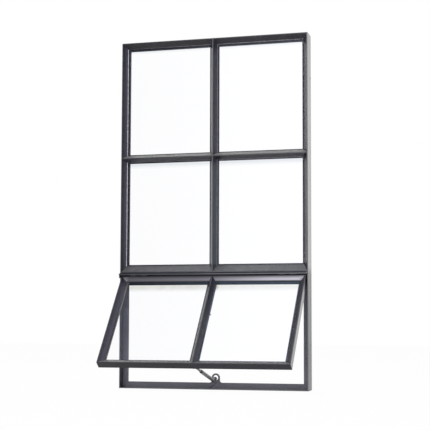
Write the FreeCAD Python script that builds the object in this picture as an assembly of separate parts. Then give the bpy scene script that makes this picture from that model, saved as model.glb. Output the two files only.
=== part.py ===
# Steel framed window: four fixed panes above a transom, and a top hung vent of two panes
# standing open on its stay. Millimetres. X runs to the right seen from outdoors, Y runs into
# the room and Z runs up. The origin is the middle of the flat underside of the sill.
import math
import os

import FreeCAD
import Part

V = FreeCAD.Vector
os.makedirs("parts", exist_ok=True)

# Overall size of the frame
width = 663.0
height = 1200.0
depth = 59.0
outer = -depth / 2.0

# Rolled frame bar: a thin outer web with a flange standing inward from it
web = 3.0
sight = 22.3
head_sight = 25.0
flange_front = 32.0
flange_thick = 4.0
stop_front = 24.0
rear_leg = 12.0
side_step = 0.8
step_at = 31.0
tip_bevel = 0.6
mitre_reach = 60.0

# Fixing holes through the webs of the jambs
fixing_r = 3.25
fixing_depth = 46.0
fixing_heights = (150.0, 1050.0)

# Glass and putty of the fixed lights
glass_thick = 4.0
glass_front = 20.0
glass_gap = 1.0
putty_start = 0.6
putty_lip = 0.02
putty_foot = 17.5
head_putty_foot = 19.4
transom_putty_foot = 25.0
bar_foot = 12.6

# T shaped glazing bars of the fixed lights
bar_half = 16.0
cross_half = 15.3
bar_flange = 7.0
cross_height = 792.0

# Transom between the fixed lights and the vent
transom_under = 394.5
transom_top = 423.0
transom_drop = 373.5

# Weather bar over the vent
hood_reach = 18.0
hood_fall = 5.0
hood_thick = 3.5
hood_inside = 14.0
hood_short = 2.0

# Vent: hinge line, opening and section
pin_depth = -2.0
pin_height = 387.0
opening = math.radians(38.0)
vent_width = 649.6
vent_top = 3.0
vent_bottom = 371.8
vent_face = 1.8
vent_depth = 28.0
vent_sight = 23.3
vent_top_sight = 24.5
vent_flange_front = 17.0
vent_flange_thick = 6.0
vent_glass_front = 13.0
vent_putty_foot = 19.5
vent_top_foot = 17.2
vent_bar_at = 1.8
vent_bar_half = 15.7
vent_bar_foot = 12.4

# Butt hinges at the ends of the vent's top rail
hinge_length = 60.0
hinge_at = 262.0
knuckle_r = 3.2
pin_r = 1.8
leaf_thick = 2.0
leaf_reach = 13.0
leaf_clear = 0.4
lug_top = 0.7
lug_thick = 1.9
knuckle_gap = 0.2

# Stay that holds the vent open: a rod from the vent's bottom rail sliding in a tube whose
# hooked end passes through the eye on the sill
stay_x = 2.0
stay_drop = 360.0
stay_back = 36.0
stay_pin_r = 2.5
rod_r = 3.4
rod_eye_r = 6.5
cheek_thick = 3.0
cheek_gap = 5.4
cheek_play = 0.3
slot_floor_thick = 4.0
eye_shy = 0.5
rod_overlap = 2.0
tube_r = 6.1
tube_bore = 3.6
tube_length = 146.0
bore_length = 110.0
rod_inside = 45.0
tube_end = 14.0
tube_end_height = 30.5
mouth_wall = 0.6
mouth_deep = 2.0
hook_r = 3.0
hook_low = 29.6
hook_run = 9.0
hook_start = 4.0
hook_short = 5.0
hook_end = 1.5
hook_seat = 0.8
hook_side = 0.4
collar_r = 9.0
collar_thick = 4.0
collar_gap = 0.5

# Eye plate on the sill
eye_r = 14.2
eye_top = 53.3
eye_hole_r = 7.0
eye_hole_height = 42.6
eye_thick = 5.0
eye_foot = 21.4
eye_flare = 7.2


def box(x0, x1, y0, y1, z0, z1):
    return Part.makeBox(x1 - x0, y1 - y0, z1 - z0, V(x0, y0, z0))


def polygon(points):
    return Part.Face(Part.makePolygon([V(*p) for p in points] + [V(*points[0])]))


def joined(shapes):
    body = shapes[0]
    for shape in shapes[1:]:
        body = body.fuse(shape)
    return body.removeSplitter()


def save(name, shape):
    solids = shape.Solids
    body = solids[0] if len(solids) == 1 else Part.makeCompound(solids)
    body.exportStep("parts/%s.step" % name)
    print(name, len(solids), "solid", body.isValid(), round(body.Volume / 1000.0, 1), "cm3")


# A bar is drawn as a profile of (inward, back) points, run along one side of a rectangle
# and mitred at both ends where it meets the next side.
def mitred_bar(profile, side, left, right, low, high, front):
    corner = mitre_reach
    if side in ("head", "sill"):
        edge, sign = (high, -1.0) if side == "head" else (low, 1.0)
        face = polygon([(left, front + b, edge + sign * w) for w, b in profile])
        run = face.extrude(V(right - left, 0, 0))
        cutter = [(left, edge), (right, edge), (right - corner, edge + sign * corner),
                  (left + corner, edge + sign * corner)]
    else:
        edge, sign = (left, 1.0) if side == "left" else (right, -1.0)
        face = polygon([(edge + sign * w, front + b, low) for w, b in profile])
        run = face.extrude(V(0, 0, high - low))
        cutter = [(edge, low), (edge, high), (edge + sign * corner, high - corner),
                  (edge + sign * corner, low + corner)]
    prism = polygon([(x, front, z) for x, z in cutter]).extrude(V(0, depth, 0))
    return run.common(prism)


# Putty around a pane: a block with a four sided hopper taken out of it, cut along the
# mitres into two upright and two level strips
def putty_strips(x0, x1, z0, z1, feet, front, start, foot):
    left, right, low, high = feet
    rim = [(x0, z0), (x1, z0), (x1, z1), (x0, z1)]
    floor = [(left, low), (right, low), (right, high), (left, high)]
    mouth = [(a + putty_lip * (c - a), b + putty_lip * (d - b)) for (a, b), (c, d) in zip(rim, floor)]
    wires = [Part.makePolygon([V(x, front + back, z) for x, z in ring + ring[:1]])
             for ring, back in ((mouth, start), (floor, foot))]
    fill = box(x0, x1, front + start, front + foot, z0, z1).cut(Part.makeLoft(wires, True, True))
    strips = []
    for i in range(4):
        j = (i + 1) % 4
        wedge = polygon([(x, front, z) for x, z in (rim[i], rim[j], floor[j], floor[i])])
        strips.append(fill.common(wedge.extrude(V(0, foot + 1.0, 0))))
    return strips[1::2], strips[0::2]


half = width / 2.0
clear = half - web
inner = half - sight
flange_back = flange_front + flange_thick
frame_profile = [(0, tip_bevel), (tip_bevel, 0), (web, 0), (web, flange_front), (sight, flange_front),
                 (sight, flange_back), (web, flange_back), (web, depth - web),
                 (rear_leg, depth - web), (rear_leg, depth), (side_step, depth),
                 (side_step, step_at), (0, step_at)]
stop_profile = [(web, stop_front), (sight, stop_front), (sight, flange_front), (web, flange_front)]

# Frame: head, sill and two jambs, mitred at the corners. Above the transom each bar
# carries a glass stop on its flange.
frame = {}
for side in ("head", "sill", "left", "right"):
    frame[side] = mitred_bar(frame_profile, side, -half, half, 0.0, height, outer)
for side in ("head", "left", "right"):
    stop = mitred_bar(stop_profile, side, -half, half, 0.0, height, outer)
    if side != "head":
        stop = stop.common(box(-half, half, outer, -outer, transom_under, height))
    frame[side] = frame[side].fuse(stop).removeSplitter()

# The flange and stop of the head are a little wider than those of the jambs
head_web = height - web
head_flange = height - head_sight
lower_edge = box(-inner, inner, outer + stop_front, outer + flange_back, head_flange, height - sight)
frame["head"] = frame["head"].fuse(lower_edge).removeSplitter()

# Fixing holes through the webs of the jambs, behind the flange
for side, sign in (("left", -1.0), ("right", 1.0)):
    for z in fixing_heights:
        start = V(sign * (half - 2 * web), outer + fixing_depth, z)
        hole = Part.makeCylinder(fixing_r, 3 * web, start, V(sign, 0, 0))
        frame[side] = frame[side].cut(hole)
save("frame_head", frame["head"])
save("frame_sill", frame["sill"])
save("frame_left_jamb", frame["left"])
save("frame_right_jamb", frame["right"])

# Transom: a plate across the frame with a flange standing up for the glass and one
# hanging down for the vent to close on
plate_top = transom_under + web
transom = joined([
    box(-clear, clear, outer, outer + stop_front, transom_under, plate_top),
    box(-inner, inner, outer + stop_front, outer + flange_back, transom_under, transom_top),
    box(-inner, inner, outer + flange_front, outer + flange_back, transom_drop, transom_under)])
save("transom", transom)

# Weather bar: a plate under the transom that falls away outward over the vent
hood_top = transom_under
hood_end = half - hood_short
hood_outside = polygon([(-hood_end, outer, hood_top), (-hood_end, outer - hood_reach, hood_top - hood_fall),
                        (-hood_end, outer - hood_reach, hood_top - hood_fall - hood_thick),
                        (-hood_end, outer, hood_top - hood_thick)]).extrude(V(2 * hood_end, 0, 0))
hood_leg = box(-clear, clear, outer, outer + hood_inside, hood_top - hood_thick, hood_top)
save("weather_bar", joined([hood_outside, hood_leg]))

# Glazing bars of the fixed lights
bar_back = stop_front + bar_flange
vertical = joined([
    box(-web / 2, web / 2, outer, outer + stop_front, plate_top, head_web),
    box(-bar_half, bar_half, outer + stop_front, outer + bar_back, transom_top, head_flange)])
save("vertical_bar", vertical)
for name, sign in (("cross_bar_left", -1.0), ("cross_bar_right", 1.0)):
    tip = sorted((sign * web / 2, sign * clear))
    wing = sorted((sign * bar_half, sign * inner))
    bar = joined([
        box(tip[0], tip[1], outer, outer + stop_front, cross_height - web / 2, cross_height + web / 2),
        box(wing[0], wing[1], outer + stop_front, outer + bar_back,
            cross_height - cross_half, cross_height + cross_half)])
    save(name, bar)

# Panes and putty of the fixed lights
rows = (("middle", plate_top, cross_height - web / 2,
         transom_under + transom_putty_foot, cross_height - bar_foot),
        ("top", cross_height + web / 2, head_web, cross_height + bar_foot, height - head_putty_foot))
uprights, levels = [], []
for row, z0, z1, foot_low, foot_high in rows:
    for column, sign in (("left", -1.0), ("right", 1.0)):
        x0, x1 = sorted((sign * web / 2, sign * clear))
        f0, f1 = sorted((sign * bar_foot, sign * (half - putty_foot)))
        pane = box(x0 + glass_gap, x1 - glass_gap, outer + glass_front, outer + glass_front + glass_thick,
                   z0 + glass_gap, z1 - glass_gap)
        save("glass_%s_%s" % (row, column), pane)
        sides, ends = putty_strips(x0, x1, z0, z1, (f0, f1, foot_low, foot_high), outer, putty_start,
                                   glass_front)
        uprights += sides
        levels += ends
save("putty_uprights", Part.makeCompound(uprights))
save("putty_levels", Part.makeCompound(levels))

# The vent is built hanging straight down from its hinge line, with z measured from the
# pin and y from the pin inward, then swung open about the pin.
pin_line = V(0, outer + pin_depth, pin_height)


def swung(shape):
    body = shape.copy()
    body.translate(pin_line)
    body.rotate(pin_line, V(1, 0, 0), -math.degrees(opening))
    return body


vent_half = vent_width / 2.0
vent_flange_back = vent_flange_front + vent_flange_thick
vent_profile = [(0, 0), (web, 0), (web, vent_flange_front), (vent_sight, vent_flange_front),
                (vent_sight, vent_flange_back), (web, vent_flange_back), (web, vent_depth),
                (0, vent_depth)]
vent_names = {"head": "vent_top_rail", "sill": "vent_bottom_rail",
              "left": "vent_left_stile", "right": "vent_right_stile"}
vent_low = -vent_bottom + web
vent_high = -vent_top - web
vent_inner = vent_half - vent_sight
vent_flange_low = -vent_top - vent_top_sight
for side, name in vent_names.items():
    bar = mitred_bar(vent_profile, side, -vent_half, vent_half, -vent_bottom, -vent_top, vent_face)
    if side == "head":
        lower_edge = box(-vent_inner, vent_inner, vent_face + vent_flange_front, vent_face + vent_flange_back,
                         vent_flange_low, -vent_top - vent_sight)
        bar = bar.fuse(lower_edge).removeSplitter()
    save(name, swung(bar))

vent_bar = joined([
    box(vent_bar_at - web / 2, vent_bar_at + web / 2, vent_face, vent_face + vent_flange_front,
        vent_low, vent_high),
    box(vent_bar_at - vent_bar_half, vent_bar_at + vent_bar_half, vent_face + vent_flange_front,
        vent_face + vent_flange_back, -vent_bottom + vent_sight, vent_flange_low)])
save("vent_bar", swung(vent_bar))

uprights, levels = [], []
for column, sign in (("left", -1.0), ("right", 1.0)):
    x0, x1 = sorted((vent_bar_at + sign * web / 2, sign * (vent_half - web)))
    f0, f1 = sorted((vent_bar_at + sign * vent_bar_foot, sign * (vent_half - vent_putty_foot)))
    pane = box(x0 + glass_gap, x1 - glass_gap, vent_face + vent_glass_front,
               vent_face + vent_flange_front, vent_low + glass_gap, vent_high - glass_gap)
    save("vent_glass_%s" % column, swung(pane))
    feet = (f0, f1, -vent_bottom + vent_putty_foot, -vent_top - vent_top_foot)
    sides, ends = putty_strips(x0, x1, vent_low, vent_high, feet, vent_face, putty_start,
                               vent_glass_front)
    uprights += sides
    levels += ends
save("vent_putty_uprights", swung(Part.makeCompound(uprights)))
save("vent_putty_levels", swung(Part.makeCompound(levels)))


# Hinges: two outer knuckles on the frame leaf, one middle knuckle on the vent leaf
def knuckle(x0, x1):
    ring = Part.makeCylinder(knuckle_r, x1 - x0, V(x0, 0, 0), V(1, 0, 0))
    return ring.cut(Part.makeCylinder(pin_r, x1 - x0, V(x0, 0, 0), V(1, 0, 0)))


leaf_top = hood_top - hood_thick - pin_height
leaf_start = knuckle_r + leaf_clear
third = hinge_length / 3.0
for name, centre in (("left", -hinge_at), ("right", hinge_at)):
    start = centre - hinge_length / 2.0
    end = start + hinge_length
    bore = Part.makeCylinder(pin_r, hinge_length, V(start, 0, 0), V(1, 0, 0))
    frame_leaf = [box(start, end, leaf_start, leaf_reach, leaf_top - leaf_thick, leaf_top)]
    for a in (start, end - third):
        lug_under = leaf_top - lug_top - lug_thick
        frame_leaf.append(knuckle(a, a + third))
        frame_leaf.append(box(a, a + third, 0, leaf_start, lug_under, leaf_top - lug_top))
    frame_leaf = joined(frame_leaf).cut(bore)
    frame_leaf.translate(pin_line)
    save("hinge_%s_frame_leaf" % name, frame_leaf)
    a = start + third + knuckle_gap
    b = end - third - knuckle_gap
    vent_leaf = joined([box(a, b, 0, leaf_reach, -vent_top, -vent_top + leaf_thick), knuckle(a, b)])
    save("hinge_%s_vent_leaf" % name, swung(vent_leaf.cut(bore)))
    pin = bore.copy()
    pin.translate(pin_line)
    save("hinge_%s_pin" % name, pin)


# Stay. Its bracket is two cheeks on the inner side of the vent's bottom rail.
def across(radius, reach, centre):
    start = centre - V(reach, 0, 0)
    return Part.makeCylinder(radius, 2 * reach, start, V(1, 0, 0))


stay_pin = V(stay_x, stay_back, -stay_drop)
cheek_out = cheek_gap / 2.0 + cheek_thick
flange_rear = vent_face + vent_flange_back
bracket = box(stay_x - cheek_out, stay_x + cheek_out, flange_rear, stay_back,
              -stay_drop - rod_eye_r, -stay_drop + rod_eye_r)
bracket = bracket.fuse(across(rod_eye_r, cheek_out, stay_pin))
slot = box(stay_x - cheek_gap / 2, stay_x + cheek_gap / 2, flange_rear + slot_floor_thick,
           stay_back + rod_eye_r, -stay_drop - rod_eye_r, -stay_drop + rod_eye_r)
stay_axle = across(stay_pin_r, cheek_out, stay_pin)
save("stay_bracket", swung(bracket.cut(slot).cut(stay_axle).removeSplitter()))
save("stay_pin", swung(stay_axle))

# The rod ends in a flat tongue that turns on the pin between the cheeks
swing_sin, swing_cos = math.sin(opening), math.cos(opening)
rod_from = V(stay_x, pin_line.y - stay_drop * swing_sin + stay_back * swing_cos,
             pin_line.z - stay_drop * swing_cos - stay_back * swing_sin)
tube_to = V(stay_x, outer + tube_end, tube_end_height)
along = (tube_to - rod_from).normalize()
tube_from = tube_to - along * tube_length
tongue = cheek_gap / 2.0 - cheek_play
rod_out = rod_eye_r - rod_overlap
rod_length = (tube_from - rod_from).Length + rod_inside - rod_out
rod = across(rod_eye_r - eye_shy, tongue, rod_from)
rod = rod.fuse(Part.makeCylinder(rod_r, rod_length, rod_from + along * rod_out, along))
for sign in (-1.0, 1.0):
    beside = rod_from + V(sign * (tongue + rod_r), 0, 0)
    rod = rod.cut(across(rod_eye_r + tip_bevel, rod_r, beside))
rod = rod.cut(across(stay_pin_r, cheek_out, rod_from))
save("stay_rod", rod.removeSplitter())

# The hook rises from the end of the tube and runs level through the eye
eye_front = outer + flange_back
hook_height = eye_hole_height - (eye_hole_r - hook_r) * hook_seat
eye_x = stay_x + (eye_hole_r - hook_r) * hook_side
bend_low = V(stay_x, outer + tube_end + hook_run, hook_low)
bend_high = V(stay_x, eye_front - hook_short, hook_height)
hook_tip = V(stay_x, eye_front + eye_thick + collar_thick + hook_end, hook_height)
path = [tube_to - along * hook_start, bend_low, bend_high, hook_tip]
tube = [Part.makeCylinder(tube_r, tube_length, tube_from, along)]
for a, b in zip(path[:-1], path[1:]):
    tube.append(Part.makeCylinder(hook_r, (b - a).Length, a, b - a))
tube += [Part.makeSphere(hook_r, bend) for bend in (bend_low, bend_high)]
tube = joined(tube).cut(Part.makeCylinder(tube_bore, bore_length, tube_from, along))
tube = tube.cut(Part.makeCone(tube_r - mouth_wall, tube_bore, mouth_deep, tube_from, along))
save("stay_tube", tube)
collar_at = V(stay_x, eye_front + eye_thick + collar_gap, hook_height)
collar = Part.makeCylinder(collar_r, collar_thick, collar_at, V(0, 1, 0))
save("stay_collar", collar.cut(Part.makeCylinder(hook_r, collar_thick, collar_at, V(0, 1, 0))))

# Eye plate: an arch with flared feet, standing on the sill behind its flange
eye_back = eye_front + eye_thick
arch_centre = eye_top - eye_r
plate = joined([
    box(eye_x - eye_foot, eye_x + eye_foot, eye_front, eye_back, web, sight),
    box(eye_x - eye_r - eye_flare, eye_x + eye_r + eye_flare, eye_front, eye_back, sight, sight + eye_flare),
    box(eye_x - eye_r, eye_x + eye_r, eye_front, eye_back, sight, arch_centre),
    Part.makeCylinder(eye_r, eye_thick, V(eye_x, eye_front, arch_centre), V(0, 1, 0))])
for sign in (-1.0, 1.0):
    plate = plate.cut(Part.makeCylinder(eye_flare, eye_thick,
                                        V(eye_x + sign * (eye_r + eye_flare), eye_front, sight + eye_flare),
                                        V(0, 1, 0)))
plate = plate.cut(Part.makeCylinder(eye_hole_r, eye_thick, V(eye_x, eye_front, eye_hole_height), V(0, 1, 0)))
save("eye_plate", plate.removeSplitter())
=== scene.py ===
# %% [markdown]
# # A steel window with an open bottom vent
#
# This lesson dresses a glazed steel window for rendering: six panes held by
# thin rolled bars, and under them a vent of two panes that hangs from its top
# edge and stands open on a stay. The shapes come from the imported part. What
# is left for Blender is the finish: old brushed paint, hand-run putty, clear
# glass and a little bare steel.
#

# %% Load the window
import math

import bmesh
import bpy
from mathutils import Euler, Matrix, Vector, noise


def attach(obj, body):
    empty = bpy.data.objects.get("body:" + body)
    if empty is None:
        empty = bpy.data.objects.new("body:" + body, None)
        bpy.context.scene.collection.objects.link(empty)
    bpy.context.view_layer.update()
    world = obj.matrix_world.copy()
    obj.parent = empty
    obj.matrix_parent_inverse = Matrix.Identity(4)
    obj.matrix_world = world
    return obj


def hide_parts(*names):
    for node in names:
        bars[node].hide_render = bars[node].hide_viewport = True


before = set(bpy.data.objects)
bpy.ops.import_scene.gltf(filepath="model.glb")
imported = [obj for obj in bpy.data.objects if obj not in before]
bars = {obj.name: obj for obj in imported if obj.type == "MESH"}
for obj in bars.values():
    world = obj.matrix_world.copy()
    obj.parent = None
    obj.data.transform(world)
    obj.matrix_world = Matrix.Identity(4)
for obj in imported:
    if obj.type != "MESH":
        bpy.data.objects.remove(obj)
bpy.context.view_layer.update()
print("pieces in the window:", len(bars))

# %% [markdown]
# ## Where the picture is taken from
#
# The window is seen from outside, from low on its right, with a long lens.
# That shows the right flank of the steel and the underside of the open vent.
# A camera in Blender looks along its own -Z, so it is first stood upright,
# then tipped up, and last turned about the vertical.

# %% Camera
EYE = Vector((1.21997, -4.13689, 0.20214))
TURN = math.radians(16.415)
TIP = math.radians(5.153)
LEAN = math.radians(0.191)
SENSOR = 36.0
FOCAL_LENGTH = 106.03

lens = bpy.data.cameras.new("long_lens")
lens.sensor_width = SENSOR
lens.lens = FOCAL_LENGTH
lens.clip_end = 60.0
viewer = bpy.data.objects.new("viewer", lens)
bpy.context.scene.collection.objects.link(viewer)
upright = Matrix.Rotation(TURN, 4, "Z") @ Matrix.Rotation(math.pi / 2 + TIP, 4, "X")
viewer.matrix_world = Matrix.Translation(EYE) @ upright @ Matrix.Rotation(LEAN, 4, "Z")
bpy.context.scene.camera = viewer
print("distance to the window:", round(EYE.length, 2), "m")


# %% [markdown]
# ## Arithmetic on the surface
#
# A finish is a small sum that is worked out at each point: some grain plus
# some wear, less what is wiped clean. Wired by hand, every plus sign is a
# node. Here a Wire stands for one socket, and Python's own operators place
# the Math nodes, so a mask reads the way a painter would say it. Each
# operator has a reflected form too, for a plain number on its left.

# %% A wire that can be added up
class Wire:
    """The output of a node, which sums can be written on."""

    def __init__(self, finish, socket):
        self.finish = finish
        self.socket = socket

    def sum(self, operation, first, second):
        return self.finish.node("ShaderNodeMath", {"operation": operation}, {0: first, 1: second})

    def __add__(self, other):
        return self.sum("ADD", self, other)

    def __radd__(self, other):
        return self.sum("ADD", other, self)

    def __sub__(self, other):
        return self.sum("SUBTRACT", self, other)

    def __rsub__(self, other):
        return self.sum("SUBTRACT", other, self)

    def __mul__(self, other):
        return self.sum("MULTIPLY", self, other)

    def __rmul__(self, other):
        return self.sum("MULTIPLY", other, self)


print("a Wire knows + - and *")


# %% [markdown]
# A Finish is one material under work. Its node method is the only place where
# nodes are made: settings go in first, because they can change which sockets
# a node has, and then each socket gets a plain value or a wire. Colours and
# vectors never pass through Math nodes, which would turn them grey, so they
# have methods of their own.
#
# Most of the others answer a question with a number: how far along a value
# is (rise and fall), where the point lies (along and distance), which way the
# surface faces (facing), and what kind of ray is asking (rays). All places
# are in the window's own metres, so a mask means the same on every piece.

# %% A finish and its nodes
UP = (0.0, 0.0, 1.0)
DOWN = (0.0, 0.0, -1.0)
RIGHT = (1.0, 0.0, 0.0)
LEFT = (-1.0, 0.0, 0.0)
UNSTRETCHED = (1.0, 1.0, 1.0)


class Finish:
    """A material, or the sky, built node by node."""

    def __init__(self, name, kept_in=bpy.data.materials):
        self.material = kept_in.new(name)
        self.material.use_nodes = True
        self.tree = self.material.node_tree
        self.tree.nodes.clear()

    def node(self, kind, settings=None, sockets=None, out=0):
        made = self.tree.nodes.new(kind)
        for name, value in (settings or {}).items():
            if name == "stops":
                self.set_stops(made.color_ramp, value)
            else:
                setattr(made, name, value)
        for name, value in (sockets or {}).items():
            if isinstance(value, Wire):
                self.tree.links.new(value.socket, made.inputs[name])
            else:
                made.inputs[name].default_value = value
        return Wire(self, made.outputs[out]) if len(made.outputs) else made

    def set_stops(self, ramp, stops):
        while len(ramp.elements) < len(stops):
            ramp.elements.new(1.0)
        for element, (place, grey) in zip(ramp.elements, stops):
            element.position = place
            element.color = (grey, grey, grey, 1.0)

    def blend(self, amount, first, second):
        """A colour between two colours."""
        settings = {"data_type": "RGBA"}
        return self.node("ShaderNodeMix", settings, {0: amount, 6: first, 7: second}, out=2)

    def ramp(self, value, *stops):
        return self.node("ShaderNodeValToRGB", {"stops": stops}, {"Fac": value})

    def rise(self, value, low, high):
        """0 up to low, 1 from high on, and smooth between them."""
        settings = {"interpolation_type": "SMOOTHSTEP"}
        return self.node("ShaderNodeMapRange", settings, {0: value, 1: low, 2: high})

    def fall(self, value, low, high):
        """1 up to low, 0 from high on, and smooth between them."""
        return 1 - self.rise(value, low, high)

    def without_sign(self, value):
        return self.node("ShaderNodeMath", {"operation": "ABSOLUTE"}, {0: value})

    def from_vectors(self, operation, first, second):
        """A number that is worked out from two vectors."""
        settings = {"operation": operation}
        return self.node("ShaderNodeVectorMath", settings, {0: first, 1: second}, out="Value")

    def place(self, stretch=UNSTRETCHED):
        """The point on the window, in metres, stretched along each axis."""
        here = self.node("ShaderNodeTexCoord", out="Object")
        return self.node("ShaderNodeVectorMath", {"operation": "MULTIPLY"}, {0: here, 1: stretch})

    def along(self, direction):
        """How far the point lies along a direction, in metres."""
        return self.from_vectors("DOT_PRODUCT", self.place(), direction)

    def distance(self, spot, stretch=UNSTRETCHED):
        """How far the point lies from a spot, once it is stretched."""
        return self.from_vectors("DISTANCE", self.place(stretch), spot)

    def noise(self, scale, detail=4.0, rough=0.55, stretch=UNSTRETCHED):
        sockets = {"Vector": self.place(stretch), "Scale": scale, "Detail": detail, "Roughness": rough}
        return self.node("ShaderNodeTexNoise", None, sockets, out="Fac")

    def facing(self, direction):
        """How squarely the surface faces a direction, from -1 to 1."""
        normal = self.node("ShaderNodeNewGeometry", out="Normal")
        return self.from_vectors("DOT_PRODUCT", normal, direction)

    def rays(self, first, *others):
        """1 for a ray of one of these kinds, 0 for any other."""
        asking = self.node("ShaderNodeLightPath", out=f"Is {first} Ray")
        for kind in others:
            asking = asking + self.node("ShaderNodeLightPath", out=f"Is {kind} Ray")
        return asking

    def bump(self, height, strength, depth):
        sockets = {"Strength": strength, "Distance": depth, "Height": height}
        return self.node("ShaderNodeBump", None, sockets)

    def principled(self, sockets):
        return self.node("ShaderNodeBsdfPrincipled", None, sockets)

    def skin(self, surface, cover=None, covered=None):
        """The finished surface, and a second one that covers part of it."""
        if cover:
            surface = self.node("ShaderNodeMixShader", None, {0: covered, 1: surface, 2: cover})
        self.node("ShaderNodeOutputMaterial", None, {"Surface": surface})
        print("finish:", self.material.name, len(self.tree.nodes), "nodes")
        return self.material


print("the window stands along", UP, "and spreads along", RIGHT)


# %% [markdown]
# ## Two planes of glass
#
# Dirt, wear and paint on a window follow its glass: what lies behind the pane
# is never brushed, and a line of bare putty runs round its edge. So a finish
# has to know how far each point lies from the pane, along a line square to
# it. The fixed panes are upright and those of the vent lean out by the angle
# at which it is propped, so there are two such planes.
#
# A Panel says where the outer face of its glass is, how far in front of that
# the steel ends (edge), and from where to where its panes rise.

# %% Where the glass is
TILT = math.radians(38)


class Panel:
    """A plane of glass: its directions in space, and its measures in mm."""

    def __init__(self, square, up, face, edge, low, high):
        self.square = square
        self.front = tuple(-part for part in square)
        self.up = up
        self.face = face
        self.edge = edge
        self.low = low
        self.high = high


FIXED = Panel((0.0, 1.0, 0.0), UP, face=-9.5, edge=-19.2, low=399.0, high=1196.0)
VENT = Panel((0.0, math.cos(TILT), -math.sin(TILT)), (0.0, math.sin(TILT), math.cos(TILT)),
             face=-248.29, edge=-12.4, low=-82.0, high=279.0)
print("the vent leans by", round(math.degrees(TILT)), "degrees")


# %% [markdown]
# ## Coat over coat
#
# Paint and putty are both built up in layers from a dark ground, as they were
# on the real window. A Coating is a finish that knows its panel. It works out
# once where the point is: east is metres to the right of the middle, height
# is metres above the floor, and depth is millimetres from the outer face of
# the glass, negative outdoors. Its lay method puts one more layer on.

# %% A coating in layers
SOOT = (0.010, 0.0100, 0.0135, 1.0)
CHARCOAL = (0.024, 0.0225, 0.035, 1.0)
DUST = (0.30, 0.305, 0.285, 1.0)
ALONG_UPRIGHT = (1.0, 1.0, 0.045)
ALONG_LEVEL = (0.045, 1.0, 1.0)


class Coating(Finish):
    """A dark ground in soft patches, and what is laid over it."""

    def __init__(self, name, panel, scale, detail, full):
        super().__init__(name)
        self.panel = panel
        self.east = self.along(RIGHT)
        self.height = self.along(UP)
        self.depth = self.along(panel.square) * 1000.0 - panel.face
        self.patches = self.noise(scale, detail, 0.6)
        self.colour = self.blend(self.ramp(self.patches, (0.3, 0.0), (full, 1.0)), SOOT, CHARCOAL)

    def lay(self, amount, paint):
        self.colour = self.blend(amount, self.colour, paint)

    def dusty(self, start, full):
        """Dust settles in clouds on what faces upward."""
        upward = self.ramp(self.facing(UP), (start, 0.0), (full, 1.0))
        return upward * self.ramp(self.noise(35.0, 5.0), (0.3, 0.55), (0.7, 1.0))


print("brush marks are", round(1 / ALONG_UPRIGHT[2]), "times as long as they are wide")

# %% [markdown]
# ## Black paint
#
# The bars are hot-rolled steel under coats of black paint, brushed on by hand
# over many years. Wear could be painted on a picture of the bars, but masks
# that ask where a point is need no unwrapping and stay sharp at any size. A
# mask fades over a range of places, and each range has a name.
#
# First come the fronts. Beside and below the vent, the fronts of the frame are
# painted a lighter grey, most near the floor: a painted reflection of the pale
# floor. On the left jamb, higher up, less of it is painted, as painted shade
# where the open vent hangs in front. On the sill, under the eye, runs a slanting
# dark band. The front of the vent has turned a warm black, and its top rail is
# painted a lighter grey under the weather bar, as painted light reaching in there.

# %% Painted light and marks on the fronts
FLOOR_REFLECTION_GREY = (0.178, 0.174, 0.215, 1.0)
WARM = (0.018, 0.0135, 0.0125, 1.0)
LIGHT_UNDER_WEATHER_BAR = (0.10, 0.10, 0.125, 1.0)
UNDER_TRANSOM = (0.36, 0.40)
NEAR_FLOOR = (0.06, 0.20)
LEFT_JAMB = (-0.30, -0.28)
VENT_SHADE_LINE = (0.077, 0.092)
SILL_FRONT = (0.022, 0.024)
SLANT_SLOPE = 1.22
SLANT_START = 0.0198
SLANT_EDGE = (0.001, 0.0045)
VENT_TOP_RAIL = (0.362, 0.37)


def paint_frame_fronts(coat, front):
    # Painted reflection: the fronts are painted a lighter grey for the pale floor mirrored in them, and
    # less of it on the left jamb behind the open vent, as painted shade.
    floor_mirrored = coat.fall(coat.height, *UNDER_TRANSOM) * (0.5 + coat.fall(coat.height, *NEAR_FLOOR) * 0.5)
    vent_shaded = coat.fall(coat.east, *LEFT_JAMB) * coat.rise(coat.height + coat.east * 0.6, *VENT_SHADE_LINE)
    uneven = coat.ramp(coat.patches, (0.3, 0.75), (0.7, 1.0))
    coat.lay(front * floor_mirrored * (1 - vent_shaded * 0.85) * uneven * 0.9, FLOOR_REFLECTION_GREY)
    # A slanting dark band is laid on the front of the sill, under the eye.
    aside = coat.without_sign(coat.east - coat.height * SLANT_SLOPE + SLANT_START)
    slanting_dark = coat.fall(aside, *SLANT_EDGE) * coat.fall(coat.height, *SILL_FRONT) * front
    coat.lay(slanting_dark * 0.8, CHARCOAL)


def paint_vent_fronts(coat, front):
    coat.lay(front * 0.8, WARM)
    # Painted light: the front of the top rail, in the shade of the weather bar, is painted a lighter
    # grey.
    coat.lay(front * coat.rise(coat.height, *VENT_TOP_RAIL) * 0.7, LIGHT_UNDER_WEATHER_BAR)


# Up to this height the fronts carry the painted reflection of the floor.
print("rain has faded the fronts up to", UNDER_TRANSOM[1], "m")

# %% [markdown]
# Then come the edges. The outer edges of the webs are painted a lighter grey,
# more towards the right and more low down, most along the front edge of the
# weather bar: partly rubbed paint, partly painted highlight. On arrises the
# paint is rubbed thin and greyer.
# A Bevel node finds those by rounding the normal near an edge: where it parts
# from the true normal, there is an arris.

# %% Rubbed edges and painted highlights
RUBBED_AND_LIT = (0.17, 0.168, 0.18, 1.0)
TO_THE_RIGHT = (-0.16, 0.04)
UP_TO_TRANSOM = (0.395, 0.425)
RUBBED_DEPTH = 0.3
ARRIS_WIDTH = 0.0009


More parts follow.
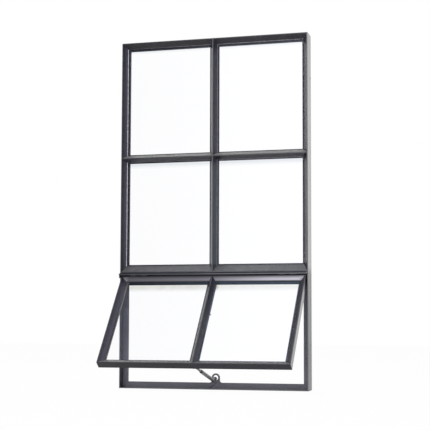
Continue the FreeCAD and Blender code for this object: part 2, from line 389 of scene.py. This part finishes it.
def arris(coat):
    """1 on sharp outer edges and in tight corners, 0 on flats."""
    rounded = coat.node("ShaderNodeBevel", {"samples": 4}, {"Radius": ARRIS_WIDTH})
    true = coat.node("ShaderNodeNewGeometry", out="Normal")
    return coat.ramp(1 - coat.from_vectors("DOT_PRODUCT", rounded, true), (0.01, 0.0), (0.16, 1.0))


def rub_and_light_edges(coat, front, strokes, rub):
    edge = coat.panel.edge
    # The outer front edges are painted lighter: partly rubbed paint, partly painted highlight.
    outer_edge = front * coat.fall(coat.depth, edge - RUBBED_DEPTH, edge)
    to_right = 0.2 + coat.rise(coat.east, *TO_THE_RIGHT) * 0.8
    if coat.panel is FIXED:
        # Below the top of the weather bar more is laid on, as a painted highlight along the weather
        # bar's front edge.
        rub = rub + coat.fall(coat.height, *UP_TO_TRANSOM) * 0.35
    coat.lay(outer_edge * to_right * rub * (0.7 + strokes * 0.5), RUBBED_AND_LIT)
    patchy = coat.ramp(coat.noise(60.0, 4.0), (0.38, 0.0), (0.62, 1.0))
    coat.lay(arris(coat) * patchy * 0.45, RUBBED_AND_LIT)


print("arrises are worn over", ARRIS_WIDTH * 1000, "mm")

# %% [markdown]
# No brush ever reached behind the glass. There the flanges wear a flat coat
# of bedding, and it needs a surface of its own, because it has another gloss
# as well as another colour. Its mask is the outdoor side of what lies behind
# the panes. What faces up in front of the frame, above all the top of the
# weather bar, is as flat. On the vent the bedding is painted bluer to the right,
# a painted reflection, and along the left stile it is painted pale.

# %% Bedding behind the glass
BEDDING = (0.012, 0.014, 0.021, 1.0)
BEDDING_DRY = (0.045, 0.047, 0.052, 1.0)
BLUE_REFLECTION = (0.11, 0.145, 0.215, 1.0)
LEFT_STILE_GREY = (0.20, 0.193, 0.19, 1.0)
PANE_SIDES = (0.3185, 0.3195)
BEHIND_PANE = (2.0, 3.0)
BEYOND_FRAME = (-21.0, -20.0)
ACROSS_VENT = (-0.3, 0.3)
LEFT_STILE = (-0.299, -0.294)


def behind_glass(coat):
    """1 on the outdoor side of the flanges behind the panes, 0 elsewhere."""
    panel = coat.panel
    outdoors = coat.rise(coat.facing(panel.front), -0.5, -0.3)
    rising = coat.along(panel.up) * 1000.0
    from_low = coat.rise(rising, panel.low - 1, panel.low)
    to_high = coat.fall(rising, panel.high, panel.high + 1)
    between = coat.fall(coat.without_sign(coat.east), *PANE_SIDES)
    return outdoors * coat.rise(coat.depth, *BEHIND_PANE) * from_low * to_high * between


def tops_in_front(coat):
    return coat.rise(coat.facing(UP), 0.7, 0.85) * coat.fall(coat.depth, *BEYOND_FRAME)


def bedding_colour(coat):
    colour = coat.blend(coat.ramp(coat.patches, (0.4, 0.0), (0.8, 1.0)), BEDDING, BEDDING_DRY)
    if coat.panel is VENT:
        # Painted reflection: the vent's bedding is painted bluer towards the right.
        colour = coat.blend(0.2 + coat.rise(coat.east, *ACROSS_VENT) * 0.8, colour, BLUE_REFLECTION)
        # Along the left stile the bedding is painted pale.
        colour = coat.blend(coat.fall(coat.east, *LEFT_STILE), colour, LEFT_STILE_GREY)
    return colour


print("bedding starts", BEHIND_PANE[0], "mm behind the outer face of the glass")

# %% [markdown]
# The brush ran along each bar, so its marks are noise stretched along the
# bar, and uprights and levels each have a finish. The outer flanks of the
# jambs and stiles have kept their gloss, on the frame mostly above the vent.
# That gloss is a clear coat over the paint, and dust dulls it. The vent's
# level bars are duller than the rest. On the tube of the stay the paint has
# chipped off in specks.

# %% Paint on the bars
CHIPPED = (0.20, 0.185, 0.185, 1.0)
OUTER_FLANK = (0.29, 0.315)
ABOVE_VENT = (0.38, 0.42)
NEAR_HEAD = (0.9, 1.2)


def flank_gloss(coat):
    """What the outer flanks add to the clear coat."""
    flank = coat.rise(coat.facing(RIGHT) * coat.east, *OUTER_FLANK)
    flank = flank + coat.rise(coat.facing(LEFT) * coat.east * -1.0, *OUTER_FLANK)
    if coat.panel is VENT:
        return flank * 0.36
    above = coat.rise(coat.height, *ABOVE_VENT)
    return flank * (0.05 + above * 0.36 - coat.rise(coat.height, *NEAR_HEAD) * 0.1)


def brushed_paint(name, along, panel, rub=0.25, dust=0.25, wet=0.45, shine=0.5, chips=0.0):
    coat = Coating(name, panel, scale=9.0, detail=5.0, full=0.75)
    strokes = coat.noise(420.0, 3.0, 0.6, along)
    grit = coat.noise(900.0, 2.0, 0.5)
    front = coat.rise(coat.facing(panel.front), 0.8, 0.95)
    if panel is FIXED:
        paint_frame_fronts(coat, front)
    else:
        paint_vent_fronts(coat, front)
    rub_and_light_edges(coat, front, strokes, rub)
    dusty = coat.dusty(0.5, 0.95)
    coat.lay(dusty * dust, DUST)
    if chips:
        specks = coat.ramp(coat.noise(330.0, 4.0, 0.65), (0.42, 0.0), (0.56, 1.0))
        coat.lay(0.25 + specks * chips, CHIPPED)
    relief = coat.bump(strokes * 0.6 + grit * 0.25 + coat.patches * 0.4, 0.3, 0.0003)
    brushed = coat.principled({
        "Base Color": coat.colour,
        "Roughness": 0.32 + strokes * 0.12 + dusty * 0.3,
        "Specular IOR Level": shine,
        "Coat Weight": wet + flank_gloss(coat) - dusty * 0.3,
        "Coat Roughness": 0.16,
        "Normal": relief,
    })
    bedded = coat.principled({
        "Base Color": bedding_colour(coat),
        "Roughness": 0.75,
        "Specular IOR Level": 0.15,
        "Normal": relief,
    })
    hidden = behind_glass(coat)
    if panel is FIXED:
        hidden = hidden + tops_in_front(coat)
    return coat.skin(brushed, bedded, hidden)


paint_upright = brushed_paint("brushed_paint_upright", ALONG_UPRIGHT, FIXED, rub=0.85, dust=0.5)
paint_level = brushed_paint("brushed_paint_level", ALONG_LEVEL, FIXED, rub=0.45, dust=0.5)
vent_paint_upright = brushed_paint("vent_paint_upright", ALONG_UPRIGHT, VENT)
vent_paint_level = brushed_paint("vent_paint_level", ALONG_LEVEL, VENT, wet=0.08, shine=0.28)
chipped_paint = brushed_paint("chipped_paint", ALONG_UPRIGHT, FIXED, chips=0.7)

# %% [markdown]
# ## Painted putty
#
# The panes are bedded in putty that was pressed on with the thumb and struck
# off with a knife, and painted over with the steel. The paint is thick and
# wet-looking at the web and thins towards the glass. On the slopes that face
# right a violet painted sheen grows towards the glass, strongest on the left
# jamb. Low down beside the upright bar that painted sheen is a little sea green.
#
# A thin, broken pale line is painted along the foot of the putty: down the
# left of the panes, and fainter along their tops.

# %% Painted sheen and a pale line on the putty
FOOT_LINE_GREY = (0.76, 0.75, 0.86, 1.0)
VIOLET_SHEEN = (0.085, 0.082, 0.118, 1.0)
TEAL_SHEEN = (0.055, 0.085, 0.105, 1.0)
LOWER_PANES = (0.74, 0.80)
UP_TO_BAR = (0.03, 0.05)
FOOT_LINE_DEPTH = (-2.7, -2.0)
ALONG_TOPS = (-0.3, 0.2)


def paint_putty_sheen(putty, rightward, inward, west, drag):
    # Painted sheen: violet on the slopes that face right, growing towards the glass.
    putty.lay(inward * rightward * (0.4 + west * 0.6) * (0.55 + drag * 0.5), VIOLET_SHEEN)
    if putty.panel is FIXED:
        low_down = putty.fall(putty.height, *LOWER_PANES) * putty.fall(putty.east, *UP_TO_BAR)
        # Painted sheen: a little sea green low down beside the upright bar.
        putty.lay(rightward * low_down * (1 - west) * 0.35, TEAL_SHEEN)


def foot_line(putty, rightward, downward, west):
    """1 on the pale line at the foot of the putty, 0 elsewhere."""
    wobble = putty.noise(160.0, 3.0) * 1.6 - 0.8
    foot = putty.rise(putty.depth + wobble, *FOOT_LINE_DEPTH)
    beside = rightward * (0.28 + west * 0.72)
    under = downward * (0.08 + putty.rise(putty.east, *ALONG_TOPS) * 0.26)
    return foot * (beside + under) * putty.ramp(putty.noise(120.0, 3.0), (0.40, 0.6), (0.58, 1.0))


# How far out from the glass the pale line at the foot of the putty reaches.
print("the blade reached", -FOOT_LINE_DEPTH[0], "mm out from the glass")

# %% [markdown]
# Along the top of the vent's panes the putty is painted with a highlight, a pale
# violet band, faint at the left and nearly white at the right. It is strongest
# some 4 to 7 mm out from the glass. In the two top corners the strips were pieced
# together by hand, and there painted glints stand light on painted shade.
#
# A ramp takes places from 0 to 1 only, so depth and east are first brought
# into that range.

# %% A painted highlight on the vent's top putty
COVE_HIGHLIGHT_LEFT = (0.13, 0.123, 0.148, 1.0)
COVE_HIGHLIGHT_RIGHT = (0.90, 0.87, 0.98, 1.0)
OUT_FROM_GLASS = ((0.05, 0.0), (0.22, 1.0), (0.42, 0.85), (0.7, 0.25))
LEFT_TO_RIGHT = ((0.2, 0.0), (0.45, 0.12), (0.52, 0.28), (0.62, 0.6), (0.7, 0.85), (0.8, 1.0))
TOP_PUTTY = (0.30, 0.34)
MITRES = ((-0.309, -0.0415, 0.371), (0.309, -0.0415, 0.371))
MITRE_REACH = (0.006, 0.016)
RIGHT_HALF = (0.0, 0.1)


def paint_cove_highlight(putty, waves):
    # Painted highlight: a pale violet band across the top putty, brighter towards the right.
    band = putty.ramp(putty.depth * -0.06, *OUT_FROM_GLASS) * putty.rise(putty.height, *TOP_PUTTY)
    highlight_colour = putty.blend(putty.ramp(putty.east + 0.5, *LEFT_TO_RIGHT), COVE_HIGHLIGHT_LEFT, COVE_HIGHLIGHT_RIGHT)
    putty.lay(band * (0.8 + waves * 0.2), highlight_colour)


def paint_corner_glints(putty):
    left, right = [putty.fall(putty.distance(mitre), *MITRE_REACH) for mitre in MITRES]
    pieced = left + right
    # Painted glints on painted shade, in a knobbly pattern at the two top corners.
    glints = putty.ramp(putty.noise(300.0, 2.0, 0.5), (0.46, 0.0), (0.54, 1.0))
    putty.lay(pieced * (1 - glints) * 0.7, CHARCOAL)
    putty.lay(pieced * glints * (0.35 + putty.rise(putty.east, *RIGHT_HALF) * 0.6), COVE_HIGHLIGHT_RIGHT)


print("pieced corners reach", MITRE_REACH[1] * 1000, "mm from the mitre")

# %% [markdown]
# Putty keeps the knife's low waves, fine drag marks along the stroke, pits,
# and cracks that opened as it dried. All four are added up into one height,
# which a Bump node turns into shading. That is enough here, because none of
# them is deep enough to change the outline. Dust lies on the slopes that face
# up, less near the glass. More of that pale grey goes on the cross bars, as
# painted sheen where their slopes catch more light.

# %% Knifed putty
CROSS_BARS = (0.5, 0.6)
NEAR_GLASS = (-6.0, -1.0)
LEFT_PUTTY = (-0.30, -0.25)


def knifed_putty(name, along, panel, dust=0.3, cove_highlight=False):
    putty = Coating(name, panel, scale=14.0, detail=4.0, full=0.7)
    waves = putty.noise(70.0, 2.0, 0.5, along)
    drag = putty.noise(500.0, 3.0, 0.6, along)
    pits = putty.noise(650.0, 2.0, 0.4)
    cracks = putty.ramp(putty.noise(210.0, 6.0, 0.7), (0.69, 0.0), (0.72, 1.0))
    rightward = putty.rise(putty.facing(RIGHT), 0.4, 0.7)
    leftward = putty.rise(putty.facing(LEFT), 0.4, 0.7)
    downward = putty.rise(putty.facing(DOWN), 0.3, 0.6)
    inward = putty.rise(putty.depth, panel.edge, -1.0)
    west = putty.fall(putty.east, *LEFT_PUTTY)
    dusty = putty.dusty(0.45, 0.85) * (1 - putty.rise(putty.depth, *NEAR_GLASS) * 0.35)
    if panel is FIXED:
        # The extra on the cross bars is painted sheen on top of the dust.
        dust = 0.62 + putty.rise(putty.height, *CROSS_BARS) * 0.28
    putty.lay(dusty * dust, DUST)
    paint_putty_sheen(putty, rightward, inward, west, drag)
    on_foot_line = 0.0
    if panel is FIXED:
        on_foot_line = foot_line(putty, rightward, downward, west)
        # A thin, broken pale line is laid at the foot of the putty.
        putty.lay(on_foot_line, FOOT_LINE_GREY)
    if cove_highlight:
        paint_cove_highlight(putty, waves)
        paint_corner_glints(putty)
    relief = waves * 1.2 + drag * 0.4 + pits * 0.2 - cracks * 0.8
    return putty.skin(putty.principled({
        "Base Color": putty.colour,
        "Roughness": 0.36 + drag * 0.12 + dusty * 0.25 + on_foot_line * 0.2,
        "Coat Weight": 0.40 + leftward * (0.35 - inward * 0.55) - dusty * 0.3 - downward * 0.16,
        "Coat Roughness": 0.18,
        "Normal": putty.bump(relief, 0.35, 0.0005),
    }))


putty_upright = knifed_putty("painted_putty_upright", ALONG_UPRIGHT, FIXED)
putty_level = knifed_putty("painted_putty_level", ALONG_LEVEL, FIXED)
vent_putty_upright = knifed_putty("vent_putty_upright", ALONG_UPRIGHT, VENT)
vent_putty_level = knifed_putty("vent_putty_level", ALONG_LEVEL, VENT, dust=0.38, cove_highlight=True)

# %% [markdown]
# ## Glass
#
# Four-millimetre sheet glass is nearly colourless face on. Along the top of
# each pane, under the bar, the glass is painted greyer. Generated coordinates
# run from 0 to 1 across any pane, so one finish finds the top of all of them.
# The tilted panes also keep a grey-green film near the top, where the rain
# runs in, and a dark smudge beside their middle bar.
#
# In Cycles hardly any of a lamp's light gets through refracting glass, so the
# steel behind the panes would stay too dark. For shadow rays and for the
# light that matt surfaces gather, the pane is therefore plainly transparent,
# and a little grey, because real glass takes some of the light.

# %% Clear panes
CLEAN = (1.0, 1.0, 0.998, 1.0)
TOP_GREY = (0.80, 0.82, 0.84, 1.0)
FILM = (0.71, 0.715, 0.67, 1.0)
SMUDGE = (0.42, 0.43, 0.34, 1.0)
LIGHT_PASSED = (0.86, 0.86, 0.86, 1.0)
GREYER_TOP = (0.915, 0.965)
FILMY_TOP = (0.84, 0.90)
LEFT_PANE_TO_RIGHT = (-0.15, 0.15)
RUN_DOWN = (1.0, 1.0, 0.3)
TALLER = (1.0, 1.0, 0.6)
SMUDGE_SPOT = (0.0155, -0.046, 0.207)
SMUDGE_REACH = (0.004, 0.017)


def clear_glass(name, film):
    pane = Finish(name)
    across = {0: pane.node("ShaderNodeTexCoord", out="Generated")}
    up = pane.node("ShaderNodeSeparateXYZ", None, across, out="Z")
    up = up + pane.noise(26.0, 5.0, 0.6) * 0.012
    # The top of each pane is painted greyer.
    colour = pane.blend(pane.rise(up, *GREYER_TOP), CLEAN, TOP_GREY)
    streaks = pane.ramp(pane.noise(26.0, 5.0, 0.6, RUN_DOWN), (0.3, 0.7), (0.7, 1.0))
    to_left = 1 - pane.rise(pane.along(RIGHT), *LEFT_PANE_TO_RIGHT) * 0.4
    colour = pane.blend(pane.rise(up, *FILMY_TOP) * streaks * to_left * film, colour, FILM)
    smudged = pane.fall(pane.distance(SMUDGE_SPOT, TALLER), *SMUDGE_REACH)
    colour = pane.blend(smudged * film * 0.85, colour, SMUDGE)
    refracting = pane.principled({
        "Base Color": colour,
        "Roughness": 0.0,
        "IOR": 1.45,
        "Transmission Weight": 1.0,
    })
    let_through = pane.node("ShaderNodeBsdfTransparent", None, {"Color": LIGHT_PASSED})
    return pane.skin(refracting, let_through, pane.rays("Shadow", "Diffuse"))


glass_fixed = clear_glass("clear_glass_fixed", film=0.0)
glass_vent = clear_glass("clear_glass_vent", film=1.0)

# %% [markdown]
# ## Bare steel
#
# The pins turn in their knuckles and the stay slides in its tube, so paint
# does not last there. What shows is dull steel, browned in spots. Rust is no
# metal, so the spots lower Metallic as well as darken the colour.

# %% Worn steel
DULL_STEEL = (0.23, 0.225, 0.22, 1.0)
BROWNED = (0.07, 0.05, 0.04, 1.0)


def worn_steel(name):
    steel = Finish(name)
    spots = steel.ramp(steel.noise(120.0, 5.0, 0.65), (0.45, 0.0), (0.7, 1.0))
    rub = steel.noise(600.0, 3.0)
    return steel.skin(steel.principled({
        "Base Color": steel.blend(spots * 0.7, DULL_STEEL, BROWNED),
        "Metallic": 0.9 - spots * 0.7,
        "Roughness": 0.34 + spots * 0.3 + rub * 0.1,
        "Normal": steel.bump(rub + spots, 0.3, 0.0002),
    }))


steel_worn = worn_steel("worn_steel_rubbed")

# %% [markdown]
# ## Putting the finishes on
#
# A piece's own name says which way it runs. Uprights are jambs, stiles, the
# middle bars and the putty beside them, and the rest lies level.

# %% Finish each piece
UPRIGHT_WORDS = ("jamb", "stile", "vertical", "uprights", "vent_bar", "stay", "eye")
STEEL_WORDS = ("pin", "stay_rod")


def finish_for(name):
    if "glass" in name:
        return glass_vent if "vent" in name else glass_fixed
    if any(word in name for word in STEEL_WORDS):
        return steel_worn
    upright = any(word in name for word in UPRIGHT_WORDS)
    if "vent_putty" in name:
        return vent_putty_upright if upright else vent_putty_level
    if "putty" in name:
        return putty_upright if upright else putty_level
    if "vent" in name:
        return vent_paint_upright if upright else vent_paint_level
    return paint_upright if upright else paint_level


for name, piece in bars.items():
    piece.data.materials.clear()
    piece.data.materials.append(finish_for(name))
print("dressed:", ", ".join(sorted(bars)))


# %% [markdown]
# ## Pieces made here
#
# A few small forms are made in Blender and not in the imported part. Each rides
# on the window's only body, says which of the part's finishes it belongs to,
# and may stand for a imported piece, which is then hidden.

# %% Add a piece
def add_piece(name, solid, finish, stands_for=None):
    piece = bpy.data.objects.new(name, solid)
    bpy.context.scene.collection.objects.link(piece)
    solid.materials.clear()
    solid.materials.append(finish)
    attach(piece, "root")
    if stands_for:
        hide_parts(stands_for)
    print("added:", name, len(solid.polygons), "faces")


def box_of(solid):
    """The lowest and highest corner of a mesh."""
    spots = [vertex.co for vertex in solid.vertices]
    return (Vector([min(spot[axis] for spot in spots) for axis in range(3)]),
            Vector([max(spot[axis] for spot in spots) for axis in range(3)]))


eye_low, eye_high = box_of(bars["eye_plate"].data)
print("the packed eye plate is", round((eye_high.z - eye_low.z) * 1000, 1), "mm high")

# %% [markdown]
# ## The eye on the sill
#
# The eye is a worn one: its hole has been pulled wide, and the hook of the
# stay has dropped to the bottom left of it, so daylight shows past the hook.
# A Boolean could cut the hole, but it leaves ragged faces to bevel. The plate
# is drawn as a flat curve with two rings instead, an outline and a hole.
# Blender fills what lies between them, thickens it and rounds its edges in
# one go. The curve lies flat, so its mesh is stood up afterwards.

# %% A plate with a worn hole
PLATE_EDGE = 0.0004
ARCH = 0.0142
SILL_TOP = 0.0223
WORN_RADIUS = 0.0088
WORN_DROP = 0.0003
STAND_UP = Matrix.Rotation(math.pi / 2, 4, "X")


def arc(middle, radius, start, stop, steps):
    turns = [math.radians(start + (stop - start) * step / steps) for step in range(steps + 1)]
    return [(middle[0] + radius * math.cos(turn), middle[1] + radius * math.sin(turn)) for turn in turns]


def flat_plate(name, rings, front, back):
    drawing = bpy.data.curves.new(name, "CURVE")
    drawing.dimensions = "2D"
    drawing.fill_mode = "BOTH"
    drawing.extrude = (back - front) / 2 - PLATE_EDGE
    drawing.bevel_depth = PLATE_EDGE
    drawing.bevel_resolution = 1
    drawing.offset = -PLATE_EDGE
    for ring in rings:
        line = drawing.splines.new("POLY")
        line.points.add(len(ring) - 1)
        line.use_cyclic_u = True
        for point, (x, z) in zip(line.points, ring):
            point.co = (x, z, 0.0, 1.0)
    holder = bpy.data.objects.new(name + "_drawing", drawing)
    bpy.context.scene.collection.objects.link(holder)
    drawn = holder.evaluated_get(bpy.context.evaluated_depsgraph_get())
    solid = bpy.data.meshes.new_from_object(drawn)
    bpy.data.objects.remove(holder)
    solid.transform(Matrix.Translation((0.0, (front + back) / 2, 0.0)) @ STAND_UP)
    return solid


middle = (eye_low.x + eye_high.x) / 2
arch_middle = eye_high.z - ARCH
flare = eye_high.x - middle - ARCH
outline = [(eye_low.x, eye_low.z), (eye_high.x, eye_low.z)]
outline += arc((eye_high.x, SILL_TOP + flare), flare, 270, 180, 8)
outline += arc((middle, arch_middle), ARCH, 0, 180, 28)
outline += arc((eye_low.x, SILL_TOP + flare), flare, 0, -90, 8)
hole = arc((middle, arch_middle - WORN_DROP), WORN_RADIUS, 0, -352.5, 47)
add_piece("eye_plate_worn", flat_plate("eye_plate_worn", (outline, hole), eye_low.y, eye_high.y),
          paint_upright, "eye_plate")

# %% [markdown]
# ## The hook in its eye
#
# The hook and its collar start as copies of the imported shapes. Points are
# moved by how far they lie along the hook: none at the tube, all at the tip.
# The collar is first drawn in to the size of a small washer, while the points
# of its bore stay where they are.

# %% The hook dropped in its hole
DROP = Vector((-0.0024, 0.0, -0.0044))
HOOK_START = -0.0065
HOOK_BEND = 0.008
WASHER_SHARE = 0.68
WASHER_BORE = 0.005


def dropped(solid):
    for vertex in solid.vertices:
        vertex.co += DROP * min(max((vertex.co.y - HOOK_START) / HOOK_BEND, 0.0), 1.0)
    return solid


def drawn_in(solid):
    low, high = box_of(solid)
    for vertex in solid.vertices:
        out = vertex.co - (low + high) / 2
        out.y = 0.0
        if out.length > WASHER_BORE:
            vertex.co -= out * (1 - WASHER_SHARE)
    return solid


dropped_tube = dropped(bars["stay_tube"].data.copy())
washer = dropped(drawn_in(bars["stay_collar"].data.copy()))
add_piece("stay_tube_dropped", dropped_tube, chipped_paint, "stay_tube")
add_piece("stay_washer", washer, paint_upright, "stay_collar")

# %% [markdown]
# ## Lumps of old paint
#
# Paint has run and hardened at the ends of the weather bar, and a nub of it
# sticks to the vent's middle bar. Each lump is a ball of fine faces,
# stretched and then pushed in and out by noise that is the same every time.
# The noise is read at the lump's own place, so no two lumps are alike.

# %% Hardened lumps
BULGE = 0.28
BULGE_SCALE = 1.7
APART = 140.0
LUMPS = {
    "paint_run_left": ((-0.3288, -0.0385, 0.3855), (0.0018, 0.0065, 0.0095), 0.10),
    "paint_run_right": ((0.3285, -0.0400, 0.3895), (0.0016, 0.0055, 0.0035), 0.0),
    "paint_nub": ((0.0215, -0.1205, 0.2500), (0.0034, 0.0020, 0.0020), 0.5),
}


def lump(name, place, half_size, lean):
    ball = bmesh.new()
    bmesh.ops.create_icosphere(ball, subdivisions=3, radius=1.0)
    for vertex in ball.verts:
        bulge = 1.0 + BULGE * noise.noise(vertex.co * BULGE_SCALE + Vector(place) * APART)
        spot = Vector([side * half for side, half in zip(vertex.co, half_size)]) * bulge
        spot.rotate(Euler((0.0, lean, 0.0)))
        vertex.co = spot + Vector(place)
    solid = bpy.data.meshes.new(name)
    ball.to_mesh(solid)
    ball.free()
    solid.shade_smooth()
    return solid


for name, (place, half_size, lean) in LUMPS.items():
    add_piece(name, lump(name, place, half_size, lean), paint_level)

# %% [markdown]
# ## Soft edges
#
# Rolled bars have slightly rounded arrises, and paint rounds them more. A
# Bevel modifier gives every steel piece that edge without touching its mesh.
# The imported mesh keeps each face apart, so a Weld comes first.

# %% Round the arrises
ARRIS_RADIUS = 0.0004
JOINED_WITHIN = 0.00001


def soften(piece):
    weld = piece.modifiers.new("weld", "WELD")
    weld.merge_threshold = JOINED_WITHIN
    bevel = piece.modifiers.new("arris", "BEVEL")
    bevel.width = ARRIS_RADIUS
    bevel.segments = 2
    bevel.limit_method = "ANGLE"
    bevel.angle_limit = math.radians(35)
    bevel.harden_normals = False


steel_pieces = [piece for name, piece in bars.items() if "glass" not in name and "putty" not in name]
for piece in steel_pieces:
    soften(piece)
print("softened:", len(steel_pieces), "steel pieces")

# %% [markdown]
# ## Light from all round
#
# The picture was cut out on white. The sky is white to the camera and through
# the glass. As a light it is softer, so that black paint stays black, and it
# isn't even: brighter behind the window, darker to the right, with one tall
# bright opening behind the viewer. Glossy paint shows all of that, and it is
# what parts one slope of putty from the next.

# %% White surroundings
NORTH_LIGHT = (0.90, 0.95, 1.22, 1.0)
WHITE = (1.0, 1.0, 1.0, 1.0)

sky = Finish("white_room", bpy.data.worlds)
bpy.context.scene.world = sky.material
toward = {0: sky.node("ShaderNodeTexCoord", out="Generated")}
east, north, above = [sky.node("ShaderNodeSeparateXYZ", None, toward, out=axis) for axis in "XYZ"]
behind = sky.rise(north, -0.2, 0.3)
ahead = sky.fall(north, -0.85, -0.5)
overhead = sky.rise(above, 0.75, 0.9)
opening = sky.rise(east, -0.38, -0.20) * sky.fall(east, 0.35, 0.6)
dark_right = sky.rise(east, 0.3, 0.9) * (1 - behind)
room = 0.4 + behind * 0.6 + (ahead + overhead) * (opening * 1.2 - 0.22) - dark_right * 0.15
mirrored = sky.rays("Glossy")
lit = sky.node("ShaderNodeMix", None, {0: mirrored, 2: 0.7 + behind * 0.15, 3: room})
strength = sky.node("ShaderNodeMix", None, {0: sky.rays("Camera", "Transmission"), 2: lit, 3: 1.0})
tint = sky.blend(mirrored * (1 - behind), WHITE, NORTH_LIGHT)
backdrop = sky.node("ShaderNodeBackground", None, {"Color": tint, "Strength": strength})
sky.node("ShaderNodeOutputWorld", None, {"Surface": backdrop})
print("sky:", sky.material.name, len(sky.tree.nodes), "nodes")


# %% [markdown]
# Two broad lamps shape what the sky leaves flat. One hangs high on the left,
# a little behind the window, and lights the ledges. A weaker one stands in
# front, on the right, and reaches in under the weather bar. Both are large,
# so that no shadow has a hard edge.

# %% Soft lamps
def lamp(name, place, aim, size, power):
    light = bpy.data.lights.new(name, "AREA")
    light.size = size
    light.energy = power
    holder = bpy.data.objects.new(name, light)
    holder.location = place
    holder.rotation_euler = (Vector(aim) - Vector(place)).to_track_quat("-Z", "Y").to_euler()
    bpy.context.scene.collection.objects.link(holder)
    print("lamp:", name, power, "W,", size, "m wide")


lamp("soft_overhead", (-0.8, 0.6, 3.4), (0.0, 0.0, 0.6), 1.8, 30.0)
lamp("soft_front", (0.6, -2.5, 1.6), (0.15, 0.0, 0.4), 1.2, 13.0)

# %% [markdown]
# ## A floor that melts into the white
#
# The window stands on a pale floor. To the camera and through the glass it is
# nearly all glow, at the strength of white, and the little matt surface left
# in it takes the window's soft shadow. Mirrored in glossy paint, two fifths
# of it glow, and to the rest of the light it is an ordinary pale surface.

# %% The floor
FLOOR_HALF = 12.0
FLOOR_HEIGHT = -0.0005
GLOW_SEEN = 0.96
GLOW_MIRRORED = 0.4
PALE = (0.8, 0.8, 0.8, 1.0)

sheet = bmesh.new()
bmesh.ops.create_grid(sheet, x_segments=1, y_segments=1, size=FLOOR_HALF)
ground = bpy.data.meshes.new("pale_floor")
sheet.to_mesh(ground)
sheet.free()
floor = bpy.data.objects.new("pale_floor", ground)
floor.location.z = FLOOR_HEIGHT
bpy.context.scene.collection.objects.link(floor)
pale = Finish("pale_floor")
matt = pale.node("ShaderNodeBsdfDiffuse", None, {"Color": PALE})
glow = pale.node("ShaderNodeEmission", None, {"Strength": 1.0})
glowing = pale.ramp(pale.rays("Camera", "Transmission"), (0.0, 0.0), (1.0, GLOW_SEEN))
glowing = glowing + pale.rays("Glossy") * GLOW_MIRRORED
ground.materials.append(pale.skin(matt, glow, glowing))

# %% [markdown]
# ## The view transform
#
# The Standard view keeps each colour as it is written.

# %% Standard view
bpy.context.scene.view_settings.view_transform = "Standard"
